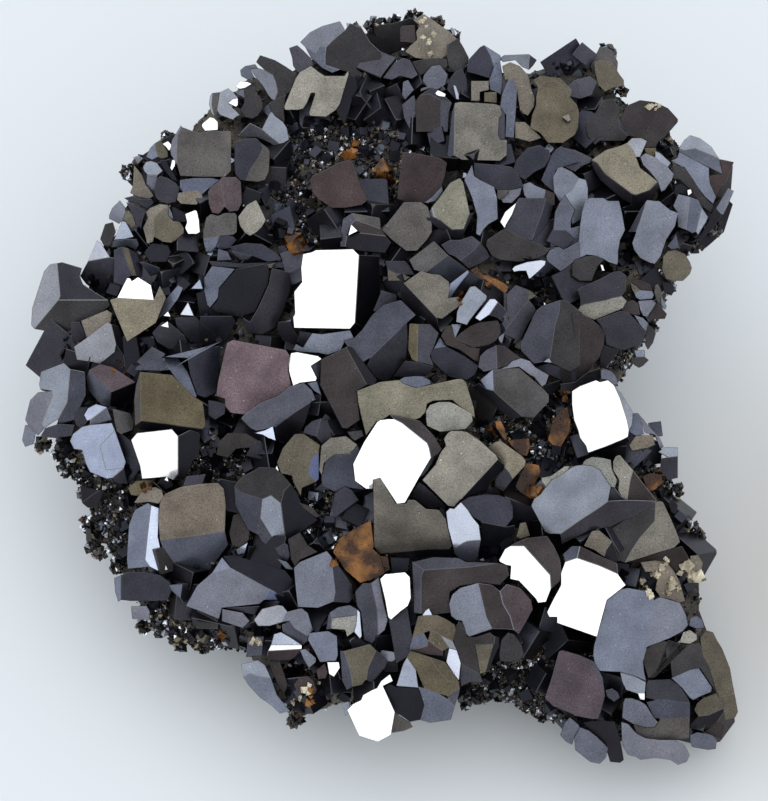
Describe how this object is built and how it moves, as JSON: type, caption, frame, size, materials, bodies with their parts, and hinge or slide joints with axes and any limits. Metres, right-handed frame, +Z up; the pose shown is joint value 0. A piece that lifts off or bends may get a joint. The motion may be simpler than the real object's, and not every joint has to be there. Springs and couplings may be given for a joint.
{
  "type": "galena specimen",
  "caption": "Cabinet-size mineral specimen: intergrown galena cubes crusting a plate of dark sphalerite, with an amber sphalerite crystal, on a flat cut base.",
  "frame": {"origin": "middle of the specimen's box at the level of its flat cut base", "axes": "+Z up from the cut base; the crystal side slopes towards the front, which faces -Y"},
  "size_m": [0.1522, 0.1596, 0.0641],
  "materials": {
    "galena": "metallic lead-grey crystal faces, satin to mirror bright, some tarnished olive, plum or blue-grey",
    "dark_sphalerite": "near-black, sparkling fine crystals, rough broken rock below",
    "amber_blende": "resinous, half translucent amber-brown crystal"
  },
  "bodies": {
    "root": {"galena_crust": "galena", "galena_cluster_1": "galena", "galena_cluster_2": "galena", "galena_cluster_3": "galena", "galena_cluster_4": "galena", "galena_cluster_5": "galena", "galena_cluster_6": "galena", "galena_cluster_7": "galena", "galena_cluster_8": "galena", "galena_cluster_9": "galena", "galena_cluster_10": "galena", "galena_cluster_11": "galena", "galena_cluster_12": "galena", "galena_cluster_13": "galena", "galena_cluster_14": "galena", "galena_cluster_15": "galena", "matrix": "dark_sphalerite", "blende_crystal": "amber_blende"}
  },
  "joints": []
}
